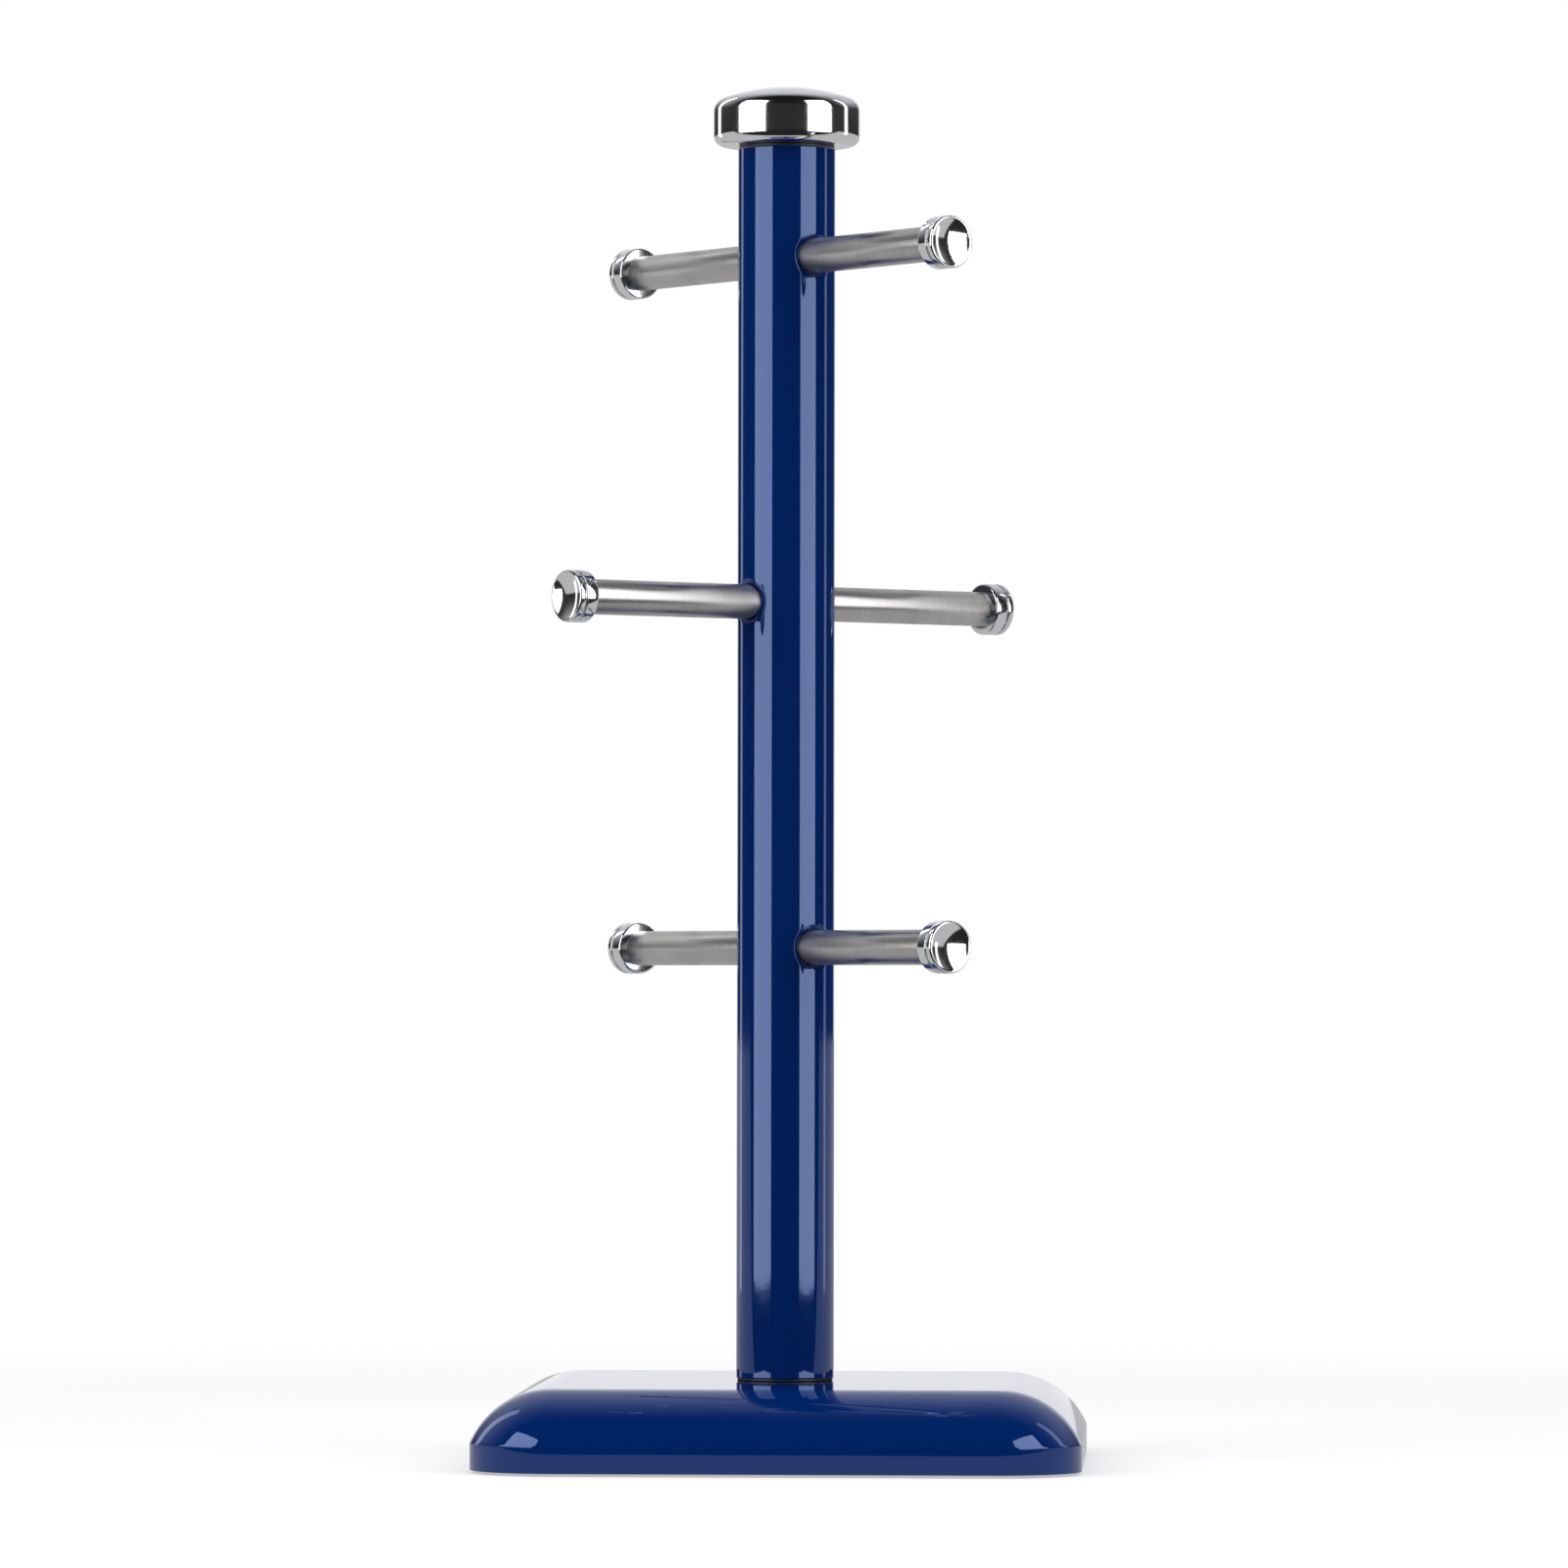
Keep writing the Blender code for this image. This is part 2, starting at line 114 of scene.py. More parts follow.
class BaseSizes(bpy.types.PropertyGroup):
    corner: length(0.0248, "Corner", "Radius of the corners, seen from above")
    band_top: length(0.0084, "Band height", "Height of the crease above the straight side band")
    crease: length(0.0010, "Crease radius", "How softly the enamel bridges the crease")
    sheet: length(0.0012, "Sheet", "Thickness of the pressed sheet")
    lip: length(0.0004, "Lip radius", "Rounding of the sheet's lower edge")
    sweep: FloatProperty(
        name="Round sweep",
        description="How far the large round turns, from the crease to the flat top",
        default=math.radians(66),
        subtype="ANGLE",
    )


class PostSizes(bpy.types.PropertyGroup):
    wall: length(0.0009, "Wall", "Thickness of the tube")
    hole: length(0.00525, "Hole radius", "Radius of the holes that the arms go through")
    lip_width: length(0.0017, "Lip width", "How far around a hole the enamel is drawn in")
    lip_depth: length(0.0006, "Lip depth", "How deep the enamel is drawn in at a hole's edge")
    seated: length(0.0003, "Seated", "How far the tube's ends press into the thin rings")
    end_row: length(0.0004, "End row", "Height of the close rows that keep the tube's ends crisp")
    facets: IntProperty(
        name="Facets", description="Facets round the tube", default=192, min=64
    )


class ArmSizes(bpy.types.PropertyGroup):
    radius: length(0.005, "Radius", "Outer radius of an arm")
    wall: length(0.001, "Wall", "Thickness of an arm's tube")
    seat: length(0.0109, "Seat", "Distance from the post's axis to an arm's root")
    reach: length(0.0776, "Reach", "Distance from the post's axis to an arm's polished end")
    cap_radius: length(0.00745, "Cap radius", "Outer radius of an end cap")
    cap_length: length(0.0064, "Cap length", "Length of an end cap outside its arm")
    cap_dish: length(0.0016, "Cap dish", "Depth of the dished end face")
    cap_rim: length(0.0006, "Cap rim", "Rounding of the end face's edge")
    groove: length(0.0019, "Groove place", "Distance from the end face back to the groove")
    groove_width: length(0.0006, "Groove width", "Width of the groove")
    groove_depth: length(0.0005, "Groove depth", "Depth of the groove")


class CapSizes(bpy.types.PropertyGroup):
    dome: length(0.055, "Dome radius", "Radius of the domed top")
    shoulder: length(0.004, "Shoulder radius", "Rounding between the dome and the band")
    edge: length(0.0032, "Edge radius", "Rounding of the lower edge")
    bore: length(0.0033, "Bore", "Radius of the stud's hole")


class Finishes(bpy.types.PropertyGroup):
    enamel: tint((0.0002, 0.0180, 0.128), "Enamel", "Colour of the post and base")
    chrome: tint((0.80, 0.81, 0.83), "Polish", "Colour of the polished caps")
    steel: tint((0.52, 0.51, 0.50), "Brushed steel", "Colour of the arms")
    zinc: tint((0.60, 0.62, 0.64), "Zinc", "Colour of the plated fasteners")
    iron: tint((0.045, 0.045, 0.048), "Iron", "Colour of the ballast")
    lacquer: tint((0.012, 0.012, 0.014), "Lacquer", "Colour of the base plate")
    rubber: tint((0.018, 0.018, 0.019), "Rubber", "Colour of the feet")
    nylon: tint((0.010, 0.010, 0.012), "Nylon", "Colour of the washers")


class Studio(bpy.types.PropertyGroup):
    distance: length(2.661, "Distance", "Distance from the post's axis to the camera")
    height: length(0.1371, "Height", "Height of the camera above the floor")
    azimuth: FloatProperty(
        name="Azimuth",
        description="Turn of the camera round the post, from the front",
        default=math.radians(2.48),
        subtype="ANGLE",
    )
    rise: FloatProperty(
        name="Rise", description="Upward tilt of the camera", default=math.radians(1.2367), subtype="ANGLE"
    )
    roll: FloatProperty(
        name="Roll", description="Roll of the camera", default=math.radians(0.09), subtype="ANGLE"
    )
    aside: FloatProperty(
        name="Aside",
        description="How far left of the post the camera looks",
        default=math.radians(0.0118),
        subtype="ANGLE",
    )
    lens: FloatProperty(name="Lens", description="Focal length", default=212.67, subtype="DISTANCE_CAMERA")
    window: FloatProperty(
        name="Window", description="Brightness of the two front softboxes", default=3.3, min=0.0
    )
    strip: FloatProperty(
        name="Strip", description="Brightness of the two narrow side lights", default=1.3, min=0.0
    )
    overhead: FloatProperty(
        name="Overhead", description="Power of the soft light overhead", default=9.0, min=0.0
    )


class MugTreeSettings(bpy.types.PropertyGroup):
    base: PointerProperty(type=BaseSizes)
    post: PointerProperty(type=PostSizes)
    arm: PointerProperty(type=ArmSizes)
    cap: PointerProperty(type=CapSizes)
    finish: PointerProperty(type=Finishes)
    studio: PointerProperty(type=Studio)


# ---------------------------------------------------------------- outlines and bodies of revolution


def softened(points, steps=6):
    """An outline with rounded corners. Each point is a radius, a height and its corner's rounding."""
    outline = []
    for i, (r, z, rounding) in enumerate(points):
        corner = Vector((r, z))
        if not rounding:
            outline.append(corner)
            continue
        back = (Vector(points[i - 1][:2]) - corner).normalized()
        ahead = (Vector(points[(i + 1) % len(points)][:2]) - corner).normalized()
        half = back.angle(ahead) / 2
        center = corner + (back + ahead).normalized() * rounding / math.sin(half)
        start = corner + back * rounding / math.tan(half) - center
        turn = (corner + ahead * rounding / math.tan(half) - center).angle_signed(start)
        for step in range(steps + 1):
            outline.append(center + Matrix.Rotation(turn * step / steps, 2) @ start)
    return [(point.x, point.y) for point in outline]


def arc(center_r, center_z, radius, start, end, steps):
    """Points of an arc in an outline, with angles counted from the outward direction."""
    angles = [start + (end - start) * i / steps for i in range(steps + 1)]
    return [(center_r + radius * math.cos(a), center_z + radius * math.sin(a)) for a in angles]


def revolved(outline, facets):
    """Spins an outline of radii and heights about Z. One that starts off the axis is closed into a ring."""
    bm = bmesh.new()
    verts = [bm.verts.new((r, 0, z)) for r, z in outline]
    edges = [bm.edges.new(pair) for pair in zip(verts, verts[1:])]
    if outline[0][0] > 0:
        edges.append(bm.edges.new((verts[-1], verts[0])))
    bmesh.ops.spin(
        bm,
        geom=verts + edges,
        cent=(0, 0, 0),
        axis=UP,
        angle=math.tau,
        steps=facets,
        use_merge=True,
    )
    bmesh.ops.remove_doubles(bm, verts=bm.verts, dist=0.000001)
    bmesh.ops.recalc_face_normals(bm, faces=bm.faces)
    return bm


def unrolled_map(bm):
    """A UV map in metres along the axis and in turns around it, for the brushing of a turned piece."""
    layer = bm.loops.layers.uv.new("along_and_around")
    for face in bm.faces:
        middle = face.calc_center_median()
        facing = math.atan2(middle.y, middle.x)
        for loop in face.loops:
            place = loop.vert.co
            turn = math.atan2(place.y, place.x) - facing
            turn = (turn + math.pi) % math.tau - math.pi if place.xy.length > 0.0001 else 0.0
            loop[layer].uv = (place.z, (facing + turn) / math.tau)


def rounded_slab(size, center, corner, steps):
    """A block whose four upright edges are rounded."""
    bm = bmesh.new()
    box = Matrix.Translation(center) @ Matrix.Diagonal((*size, 1))
    bmesh.ops.create_cube(bm, size=1, matrix=box)
    half = size[2] / 2
    upright = [e for e in bm.edges if abs(e.verts[0].co.z - e.verts[1].co.z) > half]
    bmesh.ops.bevel(
        bm, geom=upright, offset=corner, segments=steps, profile=0.5, affect="EDGES", material=-1
    )
    return bm


def turned_at(outline, facets, low, high):
    """A body of revolution whose axis runs up through the middle of a box."""
    bm = revolved(outline, facets)
    spot = Vector(((low.x + high.x) / 2, (low.y + high.y) / 2, 0))
    bmesh.ops.translate(bm, vec=spot, verts=bm.verts)
    return bm, spot


def pointing(origin, direction):
    """The place of a piece whose own Z runs along direction."""
    return Matrix.Translation(origin) @ direction.to_track_quat("Z", "Y").to_matrix().to_4x4()


def piece(bm, name, material, replaced=(), sharp=35):
    """Makes a bmesh a piece of the tree. Its place is in its mesh, and it rides on the tree's body."""
    mesh = bpy.data.meshes.new(name)
    bm.to_mesh(mesh)
    bm.free()
    mesh.materials.append(material)
    mesh.shade_smooth()
    mesh.set_sharp_from_angle(angle=math.radians(sharp))
    obj = bpy.data.objects.new(name, mesh)
    bpy.context.scene.collection.objects.link(obj)
    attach(obj, BODY)
    if replaced:
        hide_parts(*replaced)
    return obj


# ---------------------------------------------------------------- materials


def group_tree(name, inputs, outputs):
    """A shader node group with float or vector inputs, given as names and defaults, and float outputs."""
    tree = bpy.data.node_groups.new(name, "ShaderNodeTree")
    for label, default in inputs.items():
        if default is None:
            tree.interface.new_socket(label, in_out="INPUT", socket_type="NodeSocketVector")
        else:
            socket = tree.interface.new_socket(label, in_out="INPUT", socket_type="NodeSocketFloat")
            socket.default_value = default
    for label in outputs:
        tree.interface.new_socket(label, in_out="OUTPUT", socket_type="NodeSocketFloat")
    return tree, tree.nodes.new("NodeGroupInput"), tree.nodes.new("NodeGroupOutput")


def noise(tree, vector, scale, detail, roughness=0.5):
    node = tree.nodes.new("ShaderNodeTexNoise")
    node.inputs["Detail"].default_value = detail
    node.inputs["Roughness"].default_value = roughness
    tree.links.new(vector, node.inputs["Vector"])
    if isinstance(scale, float):
        node.inputs["Scale"].default_value = scale
    else:
        tree.links.new(scale, node.inputs["Scale"])
    return node.outputs["Fac"]


def blend(tree, operation, first, second):
    """A math node. Each side is a socket or a number."""
    node = tree.nodes.new("ShaderNodeMath")
    node.operation = operation
    for socket, value in zip(node.inputs, (first, second)):
        if isinstance(value, (int, float)):
            socket.default_value = value
        else:
            tree.links.new(value, socket)
    return node.outputs["Value"]


def spread(tree, value, low, high):
    """Carries a value from 0..1 to low..high."""
    node = tree.nodes.new("ShaderNodeMapRange")
    node.inputs["To Min"].default_value = low
    node.inputs["To Max"].default_value = high
    tree.links.new(value, node.inputs["Value"])
    return node.outputs["Result"]


def soft_step(tree, value, start, end, low, high):
    """Carries a value smoothly from low to high between two places."""
    node = tree.nodes.new("ShaderNodeMapRange")
    node.interpolation_type = "SMOOTHSTEP"
    node.inputs["From Min"].default_value = start
    node.inputs["From Max"].default_value = end
    node.inputs["To Min"].default_value = low
    node.inputs["To Max"].default_value = high
    tree.links.new(value, node.inputs["Value"])
    return node.outputs["Result"]


def make_flow_coat_group():
    """The faint ripple of a sprayed and baked coat: long waves with a finer orange peel on them."""
    tree, given, result = group_tree("flow_coat", {"Place": None, "Ripples": 90.0}, ["Height", "Cloud"])
    long_waves = noise(tree, given.outputs["Place"], given.outputs["Ripples"], 1.0)
    finer = blend(tree, "MULTIPLY", given.outputs["Ripples"], 6.0)
    peel = noise(tree, given.outputs["Place"], finer, 2.0)
    height = blend(tree, "ADD", long_waves, blend(tree, "MULTIPLY", peel, 0.12))
    tree.links.new(height, result.inputs["Height"])
    broad = blend(tree, "MULTIPLY", given.outputs["Ripples"], 0.25)
    tree.links.new(noise(tree, given.outputs["Place"], broad, 3.0), result.inputs["Cloud"])
    return tree


def make_brush_lines_group():
    """Fine scratches that run round a turned piece, from its unrolled map. Lines counts them per metre."""
    inputs = {"Place": None, "Lines": 9000.0}
    tree, given, result = group_tree("brush_lines", inputs, ["Scratches", "Bands"])
    squeeze = tree.nodes.new("ShaderNodeCombineXYZ")
    split = tree.nodes.new("ShaderNodeSeparateXYZ")
    tree.links.new(given.outputs["Place"], split.inputs["Vector"])
    along = blend(tree, "MULTIPLY", split.outputs["X"], given.outputs["Lines"])
    around = blend(tree, "MULTIPLY", split.outputs["Y"], 14.0)
    tree.links.new(along, squeeze.inputs["X"])
    tree.links.new(around, squeeze.inputs["Y"])
    scratches = noise(tree, squeeze.outputs["Vector"], 1.0, 4.0, 0.7)
    bands = noise(tree, squeeze.outputs["Vector"], 0.12, 3.0, 0.6)
    tree.links.new(scratches, result.inputs["Scratches"])
    tree.links.new(bands, result.inputs["Bands"])
    return tree


def make_grain_group():
    """A rough grain with clusters, for castings, rubber and lacquer."""
    tree, given, result = group_tree("grain", {"Place": None, "Size": 600.0}, ["Height", "Cloud"])
    fine = noise(tree, given.outputs["Place"], given.outputs["Size"], 5.0, 0.6)
    coarse = noise(tree, given.outputs["Place"], blend(tree, "MULTIPLY", given.outputs["Size"], 0.15), 3.0)
    tree.links.new(blend(tree, "MULTIPLY", fine, coarse), result.inputs["Height"])
    tree.links.new(coarse, result.inputs["Cloud"])
    return tree


class Finish:
    """A Principled material under construction, with its colour, roughness and relief fed from a group."""

    def __init__(self, name, group, place="Object", **values):
        self.material = bpy.data.materials.new(name)
        self.material.use_nodes = True
        self.tree = self.material.node_tree
        self.shader = self.tree.nodes["Principled BSDF"]
        where = self.tree.nodes.new("ShaderNodeTexCoord")
        self.pattern = self.tree.nodes.new("ShaderNodeGroup")
        self.pattern.node_tree = bpy.data.node_groups[group]
        self.tree.links.new(where.outputs[place], self.pattern.inputs["Place"])
        for label, value in values.items():
            self.pattern.inputs[label].default_value = value

    def fixed(self, **values):
        for label, value in values.items():
            self.shader.inputs[label.replace("_", " ")].default_value = value

    def color(self, mask, color, contrast):
        """Lets the colour drift by this contrast between the mask's low and high parts."""
        mix = self.tree.nodes.new("ShaderNodeMix")
        mix.data_type = "RGBA"
        self.tree.links.new(self.pattern.outputs[mask], mix.inputs["Factor"])
        mix.inputs["A"].default_value = (*[c * (1 - contrast) for c in color], 1)
        mix.inputs["B"].default_value = (*[min(c * (1 + contrast), 1) for c in color], 1)
        self.tree.links.new(mix.outputs["Result"], self.shader.inputs["Base Color"])
        self.material.diffuse_color = (*color, 1)

    def roughness(self, mask, low, high):
        value = spread(self.tree, self.pattern.outputs[mask], low, high)
        self.tree.links.new(value, self.shader.inputs["Roughness"])

    def relief(self, mask, depth):
        bump = self.tree.nodes.new("ShaderNodeBump")
        bump.inputs["Distance"].default_value = depth
        self.tree.links.new(self.pattern.outputs[mask], bump.inputs["Height"])
        self.tree.links.new(bump.outputs["Normal"], self.shader.inputs["Normal"])


def make_enamel(color):
    finish = Finish("blue_enamel_finish", "flow_coat", Ripples=70.0)
    finish.color("Cloud", color, 0.06)
    finish.roughness("Cloud", 0.02, 0.05)
    finish.relief("Height", 0.000012)
    finish.fixed(IOR=1.6, Specular_IOR_Level=0.8, Specular_Tint=(0.44, 0.59, 1.0, 1.0))


def make_polish(color):
    finish = Finish("polished_chrome_finish", "flow_coat", Ripples=160.0)
    finish.color("Cloud", color, 0.02)
    finish.roughness("Cloud", 0.07, 0.11)
    finish.relief("Height", 0.0000005)
    finish.fixed(Metallic=1.0)


def make_brushed(color):
    finish = Finish("brushed_steel_finish", "brush_lines", place="UV", Lines=7000.0)
    finish.color("Bands", color, 0.16)
    finish.roughness("Scratches", 0.25, 0.42)
    finish.relief("Scratches", 0.000012)
    finish.fixed(Metallic=1.0, Anisotropic=0.6)


def make_zinc(color):
    finish = Finish("zinc_plate_finish", "grain", Size=900.0)
    finish.color("Cloud", color, 0.12)
    finish.roughness("Cloud", 0.25, 0.45)
    finish.relief("Height", 0.00002)
    finish.fixed(Metallic=1.0)


def make_plain_steel(color):
    finish = Finish("plain_steel_finish", "grain", Size=1500.0)
    finish.color("Cloud", color, 0.10)
    finish.roughness("Cloud", 0.30, 0.50)
    finish.relief("Height", 0.00002)
    finish.fixed(Metallic=1.0)


def make_iron(color):
    finish = Finish("cast_iron_finish", "grain", Size=700.0)
    finish.color("Cloud", color, 0.35)
    finish.roughness("Cloud", 0.60, 0.85)
    finish.relief("Height", 0.0003)
    finish.fixed(Metallic=0.7)


def make_lacquer(color):
    finish = Finish("black_lacquer_finish", "grain", Size=1200.0)
    finish.color("Cloud", color, 0.20)
    finish.roughness("Cloud", 0.38, 0.55)
    finish.relief("Height", 0.00005)


def make_rubber(color):
    finish = Finish("black_rubber_finish", "grain", Size=1600.0)
    finish.color("Cloud", color, 0.30)
    finish.roughness("Cloud", 0.75, 0.95)
    finish.relief("Height", 0.0001)


def make_nylon(color):
    finish = Finish("black_nylon_finish", "grain", Size=1400.0)
    finish.color("Cloud", color, 0.15)
    finish.roughness("Cloud", 0.40, 0.55)
    finish.relief("Height", 0.00003)


def finish_named(slot):
    return bpy.data.materials[f"{slot}_finish"]


# ---------------------------------------------------------------- operators


class BuildOperator(bpy.types.Operator):
    bl_options = {"REGISTER", "UNDO"}

    @property
    def sizes(self):
        return bpy.context.scene.mug_tree


class MUGTREE_OT_finishes(BuildOperator):
    """Make the shader groups and the materials of every finish"""

    bl_idname = "mug_tree.finishes"
    bl_label = "Finishes"

    def execute(self, context):
        colors = self.sizes.finish
        make_flow_coat_group()
        make_brush_lines_group()
        make_grain_group()
        make_enamel(colors.enamel)
        make_polish(colors.chrome)
        make_brushed(colors.steel)
        make_zinc(colors.zinc)
        make_plain_steel(colors.steel)
        make_iron(colors.iron)
        make_lacquer(colors.lacquer)
        make_rubber(colors.rubber)
        make_nylon(colors.nylon)
        return {"FINISHED"}


class MUGTREE_OT_base(BuildOperator):
    """Build the pressed and enamelled shell of the base"""

    bl_idname = "mug_tree.base"
    bl_label = "Base shell"

    def rings(self):
        """Steps inward and upward from the top of the side band: the soft crease, then the large round."""
        sizes = self.sizes.base
        lean = QUARTER - sizes.sweep
        rise = SHELL_HIGH.z - sizes.band_top
        radius = (rise - sizes.crease * math.sin(lean) / 2) / (1 - math.sin(lean))
        steps = []
        for center, start, end, count in (
            (sizes.crease, 0.0, lean, CREASE_STEPS),
            (radius, lean, QUARTER, ROUND_STEPS),
        ):
            for i in range(count):
                a = start + (end - start) * i / count
                b = start + (end - start) * (i + 1) / count
                inward = center * (math.cos(a) - math.cos(b))
                steps.append((inward, center * (math.sin(b) - math.sin(a))))
        return steps

    def execute(self, context):
        sizes = self.sizes.base
        lean = QUARTER - sizes.sweep
        low = SHELL_LOW.z
        high = sizes.band_top - sizes.crease * math.sin(lean) / 2
        width = SHELL_HIGH.x - SHELL_LOW.x
        band = (width, width, high - low)
        bm = rounded_slab(band, UP * (low + high) / 2, sizes.corner, CORNER_STEPS)
        top = max(bm.faces, key=lambda face: face.calc_center_median().z)
        bottom = min(bm.faces, key=lambda face: face.calc_center_median().z)
        for inward, upward in self.rings():
            bmesh.ops.inset_region(bm, faces=[top], thickness=inward, depth=0, use_even_offset=True)
            bmesh.ops.translate(bm, vec=UP * upward, verts=top.verts)
        bmesh.ops.inset_region(bm, faces=[top], thickness=0.001, use_even_offset=True)
        bmesh.ops.delete(bm, geom=[bottom], context="FACES_ONLY")
        shell = piece(bm, "enamel_base", finish_named("blue_enamel"), ["base_shell"])
        sheet = shell.modifiers.new("Sheet", "SOLIDIFY")
        sheet.thickness = sizes.sheet
        sheet.offset = -1
        sheet.use_even_offset = True
        lip = shell.modifiers.new("Lip", "BEVEL")
        lip.width = sizes.lip
        lip.segments = 4
        lip.limit_method = "ANGLE"
        lip.angle_limit = math.radians(60)
        return {"FINISHED"}


class MUGTREE_OT_post(BuildOperator):
    """Build the enamelled tube, with its drawn-in holes for the arms"""

    bl_idname = "mug_tree.post"
    bl_label = "Post"

    def rows(self, column):
        """Heights of the sheet's rows: square cells around each level's holes, long ones between."""
        fine = self.sizes.post.hole + self.sizes.post.lip_width + 3 * column
        count = math.ceil(2 * fine / column)
        end = self.sizes.post.end_row
        low = POST_LOW.z - self.sizes.post.seated
        high = POST_HIGH.z + self.sizes.post.seated
        heights = [low, low + end]
        for level in ("bottom", "middle", "top"):
            corner = next(corner for name, corner in ARMS if name == level)
            start = arm_line(level, corner)[0].z - fine
            heights += [start + 2 * fine * i / count for i in range(count + 1)]
        return heights + [high - end, high]

    def flat_hole(self, bm, across, height, column):
        """Opens a round hole with a drawn-in lip in the unrolled sheet."""
        sizes = self.sizes.post
        radius = POST_HIGH.x
        reach = sizes.hole + sizes.lip_width
        half = reach + column
        center = Vector((across, height, 0))
        near = [f for f in bm.faces if max(map(abs, (f.calc_center_median() - center).xy)) < half]
        rim = {edge for face in near for edge in face.edges}
        bmesh.ops.delete(bm, geom=near, context="FACES")
        ring = [edge for edge in rim if edge.is_valid and edge.is_boundary]
        steps = range(1, BLEND_STEPS + 1)
        outlines = [(reach, 0.0, (step / BLEND_STEPS) ** 1.5) for step in steps]
        for step in range(1, LIP_STEPS + 1):
            turn = QUARTER * step / LIP_STEPS
            out = sizes.hole + sizes.lip_width * (1 - math.sin(turn))
            outlines.append((out, sizes.lip_depth * (1 - math.cos(turn)), 1.0))
        home = {vert: vert.co.copy() for edge in ring for vert in edge.verts}
        for out, deep, blend_in in outlines:
            before = {vert.co.copy().freeze(): home[vert] for edge in ring for vert in edge.verts}
            grown = bmesh.ops.extrude_edge_only(bm, edges=ring)["geom"]
            for vert in (v for v in grown if isinstance(v, bmesh.types.BMVert)):
                start = before[vert.co.copy().freeze()]
                home[vert] = start
                flat = start - center
                angle = math.atan2(flat.y, radius * math.sin(flat.x / radius))
                vert.co = start.lerp(self.hole_point(out, deep, angle, radius) + center, blend_in)
            ring = [e for e in grown if isinstance(e, bmesh.types.BMEdge)]

    @staticmethod
    def hole_point(out, deep, angle, radius):
        """A point of a round hole's edge in the unrolled sheet, at this distance from the hole's axis."""
        sideways = out * math.cos(angle)
        return Vector((radius * math.asin(sideways / radius), out * math.sin(angle), -deep))

    def execute(self, context):
        sizes = self.sizes.post
        radius = POST_HIGH.x
        around = math.tau * radius
        column = around / sizes.facets
        heights = self.rows(column)
        bm = bmesh.new()
        sheet = Matrix.Translation((around / 2, len(heights) / 2, 0))
        sheet = sheet @ Matrix.Diagonal((around / 2, (len(heights) - 1) / 2, 1, 1))
        bmesh.ops.create_grid(
            bm, x_segments=sizes.facets, y_segments=len(heights) - 1, size=1, matrix=sheet
        )
        for vert in bm.verts:
            vert.co.y = heights[round(vert.co.y - 0.5)]
        for level, corner in ARMS:
            height, way = arm_line(level, corner)
            across = (math.atan2(way.y, way.x) % math.tau) * radius
            self.flat_hole(bm, across, height.z, column)
        for vert in bm.verts:
            turn = vert.co.x / radius
            out = radius + vert.co.z
            vert.co = (out * math.cos(turn), out * math.sin(turn), vert.co.y)
        bmesh.ops.remove_doubles(bm, verts=bm.verts, dist=0.000005)
        bmesh.ops.recalc_face_normals(bm, faces=bm.faces)
        if sum(f.normal.xy.dot(f.calc_center_median().xy) for f in bm.faces) < 0:
            bmesh.ops.reverse_faces(bm, faces=bm.faces)
        post = piece(bm, "enamel_post", finish_named("blue_enamel"), ["post_tube"], sharp=50)
        wall = post.modifiers.new("Wall", "SOLIDIFY")
        wall.thickness = sizes.wall
        wall.offset = -1
        return {"FINISHED"}


class MUGTREE_OT_arms(BuildOperator):
    """Build the six brushed arms"""

    bl_idname = "mug_tree.arms"
    bl_label = "Arms"

    def execute(self, context):
        sizes = self.sizes.arm
        inner = sizes.radius - sizes.wall
        tip = sizes.reach - sizes.cap_length
        outline = softened(
            [
                (sizes.radius, tip, 0.0001),
                (sizes.radius, sizes.seat, 0.0003),
                (inner, sizes.seat, 0.0002),
                (inner, tip, 0.0001),
            ],
            steps=3,
        )
        for level, corner in ARMS:
            bm = revolved(outline, ARM_FACETS)
            unrolled_map(bm)
            bmesh.ops.transform(bm, matrix=pointing(*arm_line(level, corner)), verts=bm.verts)
            steel = finish_named("brushed_steel")
            piece(bm, f"brushed_arm_{level}_{corner}", steel, [f"arm_{level}_{corner}"])
        return {"FINISHED"}


